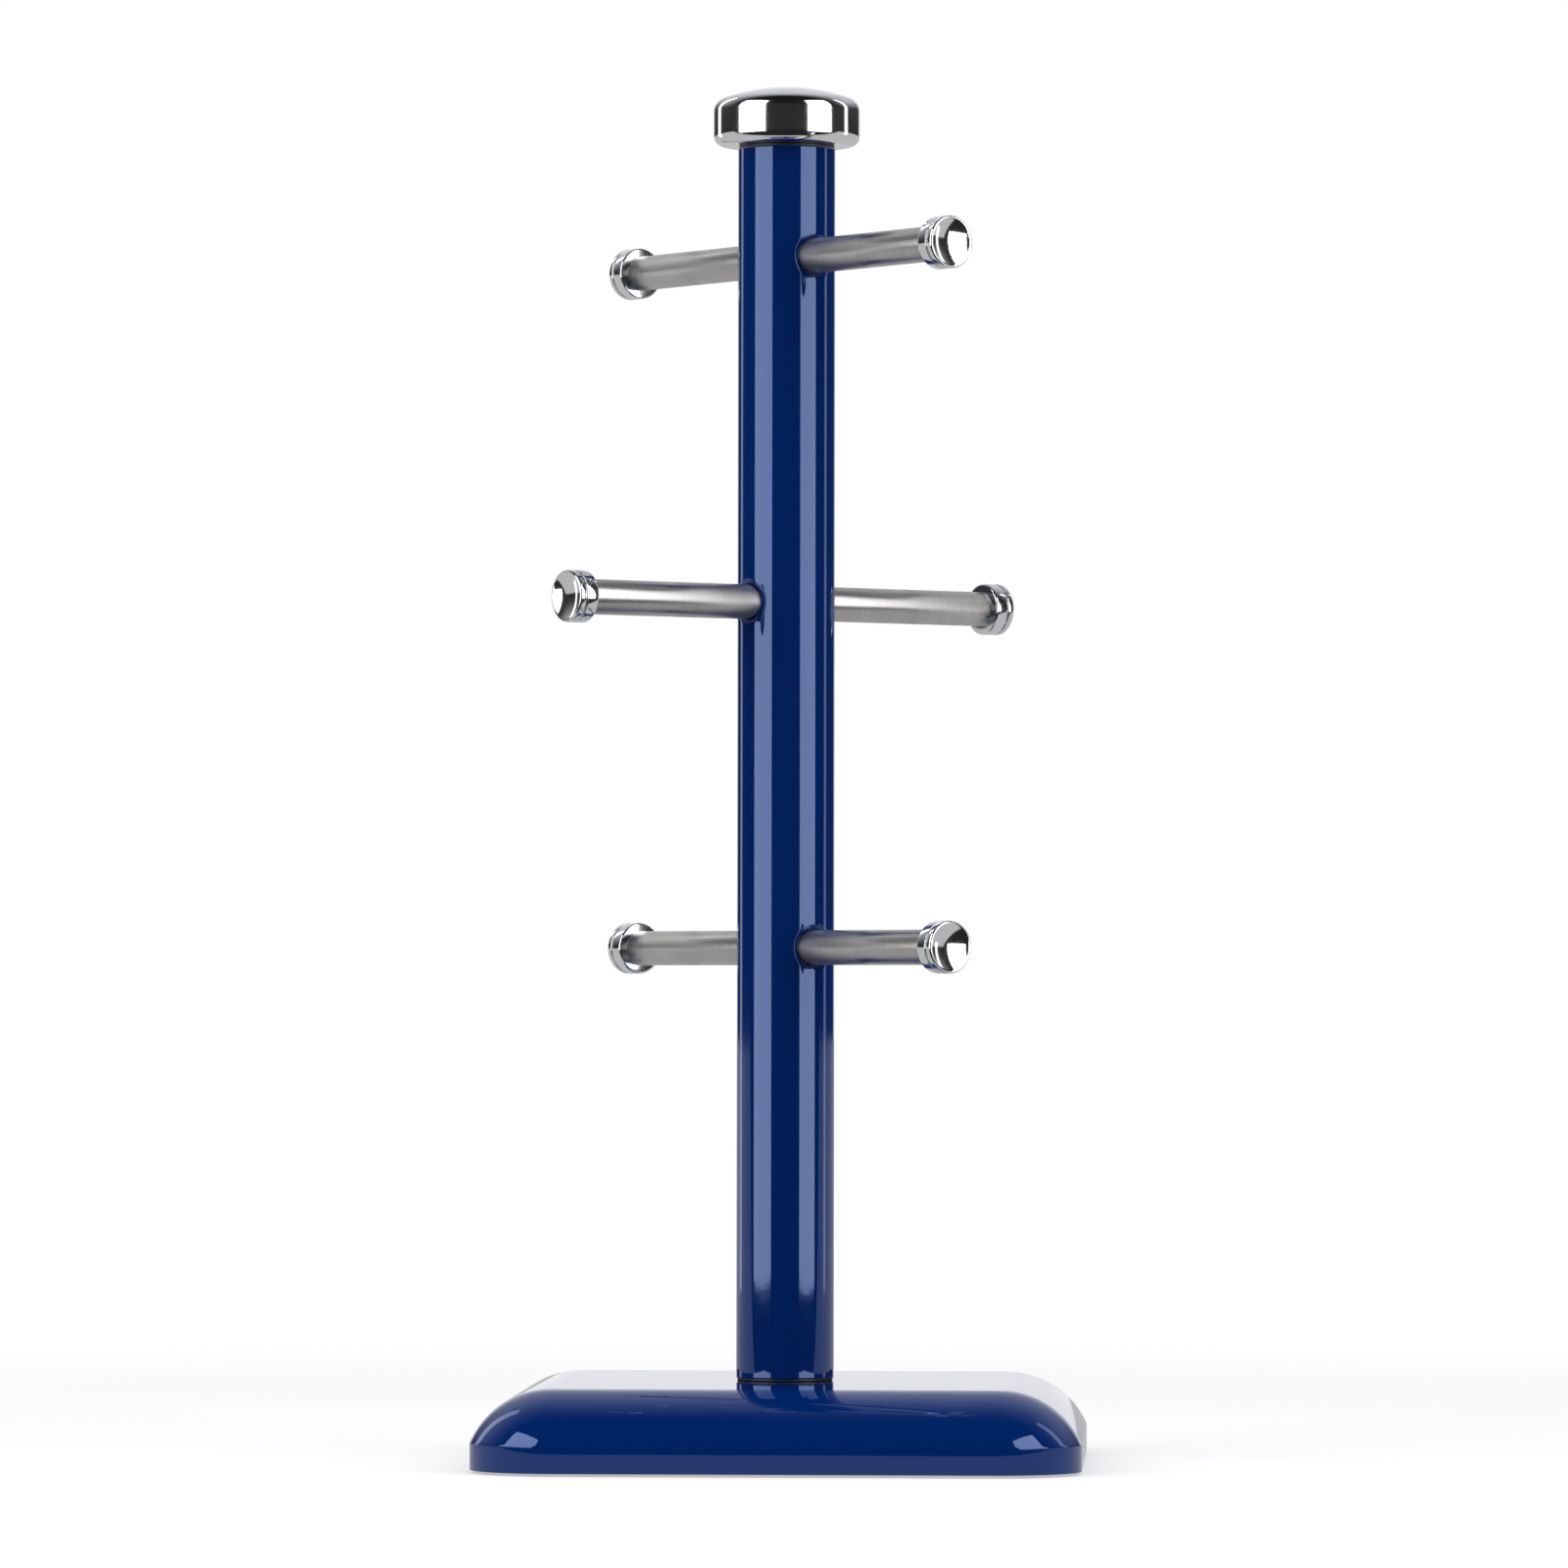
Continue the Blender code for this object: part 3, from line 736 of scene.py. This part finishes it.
class MUGTREE_OT_end_caps(BuildOperator):
    """Build the polished end caps of the arms"""

    bl_idname = "mug_tree.end_caps"
    bl_label = "End caps"

    def outline(self):
        """Dished face, rounded rim, fine groove, sleeve, and a spigot inside the arm."""
        sizes = self.sizes.arm
        top = sizes.reach
        back = top - sizes.cap_length
        face = sizes.cap_radius - sizes.cap_rim
        dish = (face**2 + sizes.cap_dish**2) / (2 * sizes.cap_dish)
        deepest = top - sizes.cap_dish
        rise = math.asin(face / dish)
        rim_z = top - sizes.cap_rim
        groove = top - sizes.groove
        floor = sizes.cap_radius - sizes.groove_depth
        bore = sizes.radius - sizes.wall - 0.0002
        return (
            [(0, deepest)]
            + arc(0, deepest + dish, dish, -QUARTER, rise - QUARTER, 14)[1:]
            + arc(face, rim_z, sizes.cap_rim, QUARTER, 0, 8)[1:]
            + softened(
                [
                    (sizes.cap_radius, rim_z, 0),
                    (sizes.cap_radius, groove, 0.0002),
                    (floor, groove, 0.0001),
                    (floor, groove - sizes.groove_width, 0.0001),
                    (sizes.cap_radius, groove - sizes.groove_width, 0.0002),
                    (sizes.cap_radius, back, 0.0006),
                    (bore, back, 0),
                    (bore, back - 0.008, 0.0004),
                    (0, back - 0.008, 0),
                ]
            )[1:]
        )

    def execute(self, context):
        outline = self.outline()
        for level, corner in ARMS:
            bm = revolved(outline, ARM_FACETS)
            bmesh.ops.transform(bm, matrix=pointing(*arm_line(level, corner)), verts=bm.verts)
            chrome = finish_named("polished_chrome")
            name = f"polished_cap_{level}_{corner}"
            piece(bm, name, chrome, [f"arm_cap_{level}_{corner}"])
        return {"FINISHED"}


class MUGTREE_OT_top_cap(BuildOperator):
    """Build the polished top cap and the dark washer under it"""

    bl_idname = "mug_tree.top_cap"
    bl_label = "Top cap"

    def execute(self, context):
        sizes = self.sizes.cap
        radius = CAP_HIGH.x
        top, bottom = CAP_HIGH.z, CAP_LOW.z
        shoulder_r = radius - sizes.shoulder
        dome_z = top - sizes.dome
        lean = math.asin(shoulder_r / (sizes.dome - sizes.shoulder))
        shoulder_z = dome_z + (sizes.dome - sizes.shoulder) * math.cos(lean)
        stud_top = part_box("top_cap_stud")[1].z + 0.0003
        outline = (
            [(0, top)]
            + arc(0, dome_z, sizes.dome, QUARTER, QUARTER - lean, 16)[1:]
            + arc(shoulder_r, shoulder_z, sizes.shoulder, QUARTER - lean, 0, 14)[1:]
            + arc(radius - sizes.edge, bottom + sizes.edge, sizes.edge, 0, -QUARTER, 12)
            + [(sizes.bore, bottom), (sizes.bore, stud_top), (0, stud_top)]
        )
        chrome = finish_named("polished_chrome")
        piece(revolved(outline, CAP_FACETS), "polished_top_cap", chrome, ["top_cap"])
        low = POST_HIGH.z
        washer = softened(
            [
                (POST_HIGH.x - 0.0003, bottom, 0.0002),
                (POST_HIGH.x - 0.0003, low, 0.0002),
                (sizes.bore, low, 0.0002),
                (sizes.bore, bottom, 0.0002),
            ]
        )
        nylon = finish_named("black_nylon")
        piece(revolved(washer, RING_FACETS), "cap_washer_ring", nylon, ["top_cap_washer"])
        return {"FINISHED"}


class MUGTREE_OT_foot_seam(BuildOperator):
    """Build the thin dark gasket between the post and the base"""

    bl_idname = "mug_tree.foot_seam"
    bl_label = "Foot gasket"

    def execute(self, context):
        outer = POST_HIGH.x - 0.0003
        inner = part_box("post_foot_gasket")[1].x - 0.003
        low, high = SHELL_HIGH.z, POST_LOW.z
        corners = ((outer, high), (outer, low), (inner, low), (inner, high))
        ring = softened([(r, z, 0.0003) for r, z in corners])
        nylon = finish_named("black_nylon")
        piece(revolved(ring, RING_FACETS), "foot_gasket_ring", nylon, ["post_foot_gasket"])
        return {"FINISHED"}


class MUGTREE_OT_underside(BuildOperator):
    """Build the base plate, its screws and the rubber feet"""

    bl_idname = "mug_tree.underside"
    bl_label = "Underside"

    def plate(self):
        size = PLATE_HIGH - PLATE_LOW
        corner = self.sizes.base.corner - (SHELL_HIGH.x - PLATE_HIGH.x)
        bm = rounded_slab(size, (PLATE_LOW + PLATE_HIGH) / 2, corner, PLATE_CORNER_STEPS)
        rims = [e for e in bm.edges if abs(e.verts[0].co.z - e.verts[1].co.z) < size.z / 2]
        bmesh.ops.bevel(bm, geom=rims, offset=0.0003, segments=3, profile=0.5, affect="EDGES", material=-1)
        lacquer = finish_named("black_lacquer")
        piece(bm, "lacquered_plate", lacquer, ["base_plate"])

    def screw(self, corner):
        """A flat-headed screw with a cross recess, its head down."""
        name = f"plate_screw_{corner}"
        low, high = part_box(name)
        head = (high.x - low.x) / 2
        head_top = low.z + 0.0012
        outline = softened(
            [
                (0, high.z, 0),
                (0.002, high.z, 0.0005),
                (0.002, head_top, 0),
                (head, head_top, 0.0002),
                (head, low.z, 0.0006),
                (0, low.z, 0),
            ]
        )
        bm, spot = turned_at(outline, SCREW_FACETS, low, high)
        zinc = finish_named("zinc_plate")
        obj = piece(bm, f"zinc_screw_{corner}", zinc, [name])
        cross = bmesh.new()
        for turn in (0, QUARTER):
            arm = Matrix.Translation((*spot[:2], low.z)) @ Matrix.Rotation(turn + math.pi / 4, 4, "Z")
            arm = arm @ Matrix.Diagonal((head * 1.1, 0.0009, 0.0018, 1))
            bmesh.ops.create_cube(cross, size=1, matrix=arm)
        carve(obj, cross)

    def foot(self, corner):
        """A round rubber pad with a moulded ring on its underside."""
        name = f"foot_{corner}"
        low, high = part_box(name)
        radius = (high.x - low.x) / 2
        top = PLATE_LOW.z
        outline = softened(
            [
                (0, top, 0),
                (radius, top, 0.0003),
                (radius, low.z, 0.0006),
                (radius * 0.72, low.z, 0.0002),
                (radius * 0.70, low.z + 0.0004, 0.0001),
                (radius * 0.56, low.z + 0.0004, 0.0001),
                (radius * 0.54, low.z, 0.0002),
                (0, low.z, 0),
            ]
        )
        bm, _ = turned_at(outline, FOOT_FACETS, low, high)
        rubber = finish_named("black_rubber")
        piece(bm, f"rubber_{name}", rubber, [name])

    def execute(self, context):
        self.plate()
        for corner in CORNERS:
            self.screw(corner)
            self.foot(corner)
        return {"FINISHED"}


def carve(obj, tool_bm):
    """Cuts the tool's shape out of a piece and keeps the result as the piece's own mesh."""
    mesh = bpy.data.meshes.new("tool")
    tool_bm.to_mesh(mesh)
    tool_bm.free()
    tool = bpy.data.objects.new("tool", mesh)
    bpy.context.scene.collection.objects.link(tool)
    cut = obj.modifiers.new("Carve", "BOOLEAN")
    cut.object = tool
    cut.use_self = True
    evaluated = obj.evaluated_get(bpy.context.evaluated_depsgraph_get())
    carved = bpy.data.meshes.new_from_object(evaluated)
    obj.modifiers.clear()
    obj.data = carved
    bpy.data.objects.remove(tool)


class MUGTREE_OT_inner_parts(BuildOperator):
    """Give the fasteners, plugs, blocks and ballast inside the tree their finishes"""

    bl_idname = "mug_tree.inner_parts"
    bl_label = "Inner parts"

    def execute(self, context):
        for row in frame["record"]["subparts"]:
            node = frame["nodes"][row["node"]]
            if node.hide_render:
                continue
            node.data.materials.clear()
            node.data.materials.append(finish_named(row["material_slot"]))
        return {"FINISHED"}


class MUGTREE_OT_stage(BuildOperator):
    """Set up the floor, the lights and the camera"""

    bl_idname = "mug_tree.stage"
    bl_label = "Stage"

    def panel(self, name, azimuth, width, tall, radiance):
        """A softbox on the floor that faces the post, with its own brightness whatever its size."""
        light = bpy.data.lights.new(name, "AREA")
        light.shape = "RECTANGLE"
        light.size = width
        light.size_y = tall
        light.energy = radiance * math.pi * width * tall
        obj = bpy.data.objects.new(name, light)
        bpy.context.scene.collection.objects.link(obj)
        way = Vector((math.sin(azimuth), -math.cos(azimuth), 0))
        obj.location = way * SOFTBOX_DISTANCE + UP * tall / 2
        obj.rotation_euler = way.to_track_quat("Z", "Y").to_euler()
        obj.visible_camera = False
        return obj

    def world(self):
        """White to the eye. In reflections a white wall behind the tree, a soft ceiling and a dark front."""
        world = bpy.data.worlds.new("studio")
        bpy.context.scene.world = world
        world.use_nodes = True
        tree = world.node_tree
        where = tree.nodes.new("ShaderNodeTexCoord")
        split = tree.nodes.new("ShaderNodeSeparateXYZ")
        tree.links.new(where.outputs["Generated"], split.inputs["Vector"])
        ahead, height = split.outputs["Y"], split.outputs["Z"]
        flat = blend(tree, "SQRT", blend(tree, "SUBTRACT", 1.0, blend(tree, "MULTIPLY", height, height)), 0)
        facing = blend(tree, "DIVIDE", ahead, blend(tree, "MAXIMUM", flat, 0.01))
        wall = soft_step(tree, facing, 0.88, 0.97, 0.03, 1.0)
        ceiling = soft_step(tree, ahead, -0.15, 0.75, 0.01, 0.65)
        high = soft_step(tree, height, 0.05, 0.60, 0.0, 1.0)
        radiance = tree.nodes.new("ShaderNodeMix")
        tree.links.new(high, radiance.inputs["Factor"])
        tree.links.new(wall, radiance.inputs["A"])
        tree.links.new(ceiling, radiance.inputs["B"])
        seen = tree.nodes["Background"]
        seen.inputs["Color"].default_value = (1, 1, 1, 1)
        room = tree.nodes.new("ShaderNodeBackground")
        room.inputs["Color"].default_value = (0.97, 0.98, 1.0, 1)
        tree.links.new(radiance.outputs["Result"], room.inputs["Strength"])
        ray = tree.nodes.new("ShaderNodeLightPath")
        both = self.either(
            tree, ray.outputs["Is Camera Ray"], room.outputs["Background"], seen.outputs["Background"]
        )
        tree.links.new(both, tree.nodes["World Output"].inputs["Surface"])

    @staticmethod
    def either(tree, factor, first, second):
        """Mixes two shaders."""
        mix = tree.nodes.new("ShaderNodeMixShader")
        for socket, source in zip(mix.inputs, (factor, first, second)):
            tree.links.new(source, socket)
        return mix.outputs["Shader"]

    def floor(self):
        """A white floor standing for a table whose front edge lies close before the tree. Only its
        reflections show the edge: to every ray but the camera's the floor glows with painted light, bright
        behind the edge and nearly dark in front of it.
        """
        bm = bmesh.new()
        bmesh.ops.create_circle(bm, cap_ends=True, segments=96, radius=TABLE_RADIUS)
        mesh = bpy.data.meshes.new("floor")
        bm.to_mesh(mesh)
        bm.free()
        obj = bpy.data.objects.new("floor", mesh)
        bpy.context.scene.collection.objects.link(obj)
        material = bpy.data.materials.new("pale_floor")
        material.use_nodes = True
        mesh.materials.append(material)
        tree = material.node_tree
        tree.nodes.remove(tree.nodes["Principled BSDF"])
        where = tree.nodes.new("ShaderNodeTexCoord")
        split = tree.nodes.new("ShaderNodeSeparateXYZ")
        tree.links.new(where.outputs["Object"], split.inputs["Vector"])
        cloth = tree.nodes.new("ShaderNodeBsdfDiffuse")
        cloth.inputs["Color"].default_value = (0.58, 0.58, 0.59, 1)
        glow = tree.nodes.new("ShaderNodeEmission")
        glow.inputs["Strength"].default_value = 0.46
        near = tree.nodes.new("ShaderNodeAddShader")
        tree.links.new(cloth.outputs["BSDF"], near.inputs[0])
        tree.links.new(glow.outputs["Emission"], near.inputs[1])
        white = tree.nodes.new("ShaderNodeEmission")
        away = tree.nodes.new("ShaderNodeVectorMath")
        away.operation = "LENGTH"
        tree.links.new(where.outputs["Object"], away.inputs[0])
        far = soft_step(tree, away.outputs["Value"], 0.35, 0.90, 0.0, 1.0)
        seen = self.either(tree, far, near.outputs["Shader"], white.outputs["Emission"])
        # painted light: to reflections and bounced light the floor is an emitter, 0.55 behind a line 0.18 m
        # before the tree and 0.02 in front of it, a painted reflection of a table's front edge
        painted_floor_light = tree.nodes.new("ShaderNodeEmission")
        edge = soft_step(tree, split.outputs["Y"], -0.19, -0.17, 0.02, 0.55)
        tree.links.new(edge, painted_floor_light.inputs["Strength"])
        ray = tree.nodes.new("ShaderNodeLightPath")
        both = self.either(tree, ray.outputs["Is Camera Ray"], painted_floor_light.outputs["Emission"], seen)
        tree.links.new(both, tree.nodes["Material Output"].inputs["Surface"])

    def camera(self):
        sizes = self.sizes.studio
        data = bpy.data.cameras.new("camera")
        data.lens = sizes.lens
        data.clip_start = 0.1
        data.clip_end = 50
        obj = bpy.data.objects.new("camera", data)
        bpy.context.scene.collection.objects.link(obj)
        back = Vector((math.sin(sizes.azimuth), -math.cos(sizes.azimuth), 0))
        obj.location = back * sizes.distance + UP * sizes.height
        level = Matrix.Rotation(sizes.aside, 3, "Z") @ -back
        ahead = level * math.cos(sizes.rise) + UP * math.sin(sizes.rise)
        aim = ahead.to_track_quat("-Z", "Y").to_matrix() @ Matrix.Rotation(sizes.roll, 3, "Z")
        obj.rotation_euler = aim.to_euler()
        bpy.context.scene.camera = obj

    def execute(self, context):
        sizes = self.sizes.studio
        facing = sizes.azimuth
        for name, start, end, radiance in (
            ("window_left", -80, -34, sizes.window),
            ("window_right", 33, 73, sizes.window),
            ("strip_left", -136, -126, sizes.strip),
            ("strip_right", 102, 110, sizes.strip),
        ):
            width = 2 * SOFTBOX_DISTANCE * math.tan(math.radians(end - start) / 2)
            azimuth = facing + math.radians(start + end) / 2
            self.panel(name, azimuth, width, SOFTBOX_TOP, radiance)
        above = self.panel("overhead", facing, OVERHEAD_SIDE, OVERHEAD_SIDE, sizes.overhead / 10)
        above.visible_glossy = False
        above.location = UP * SOFTBOX_TOP
        above.rotation_euler = (0, 0, 0)
        self.world()
        self.floor()
        self.camera()
        bpy.context.scene.view_settings.view_transform = "Standard"
        return {"FINISHED"}


class MUGTREE_PT_panel(bpy.types.Panel):
    """Lists the steps that build the mug tree"""

    bl_label = "Mug Tree"
    bl_idname = "MUGTREE_PT_panel"
    bl_space_type = "VIEW_3D"
    bl_region_type = "UI"
    bl_category = "Mug Tree"

    def draw(self, context):
        settings = context.scene.mug_tree
        for title, group in (
            ("Base", settings.base),
            ("Post", settings.post),
            ("Arms", settings.arm),
            ("Top cap", settings.cap),
            ("Finishes", settings.finish),
            ("Studio", settings.studio),
        ):
            box = self.layout.box()
            box.label(text=title)
            for name in group.__annotations__:
                box.prop(group, name)
        for operator in OPERATORS:
            self.layout.operator(operator.bl_idname)


SETTINGS = (BaseSizes, PostSizes, ArmSizes, CapSizes, Finishes, Studio, MugTreeSettings)
OPERATORS = (
    MUGTREE_OT_stage,
    MUGTREE_OT_finishes,
    MUGTREE_OT_base,
    MUGTREE_OT_foot_seam,
    MUGTREE_OT_post,
    MUGTREE_OT_arms,
    MUGTREE_OT_end_caps,
    MUGTREE_OT_top_cap,
    MUGTREE_OT_underside,
    MUGTREE_OT_inner_parts,
)


def register():
    for cls in (*SETTINGS, *OPERATORS, MUGTREE_PT_panel):
        bpy.utils.register_class(cls)
    bpy.types.Scene.mug_tree = PointerProperty(type=MugTreeSettings)


def unregister():
    del bpy.types.Scene.mug_tree
    for cls in reversed((*SETTINGS, *OPERATORS, MUGTREE_PT_panel)):
        bpy.utils.unregister_class(cls)


def main():
    register()
    bpy.ops.mug_tree.stage()
    bpy.ops.mug_tree.finishes()
    bpy.ops.mug_tree.base()
    bpy.ops.mug_tree.foot_seam()
    bpy.ops.mug_tree.post()
    bpy.ops.mug_tree.arms()
    bpy.ops.mug_tree.end_caps()
    bpy.ops.mug_tree.top_cap()
    bpy.ops.mug_tree.underside()
    bpy.ops.mug_tree.inner_parts()


if __name__ == "__main__":
    main()
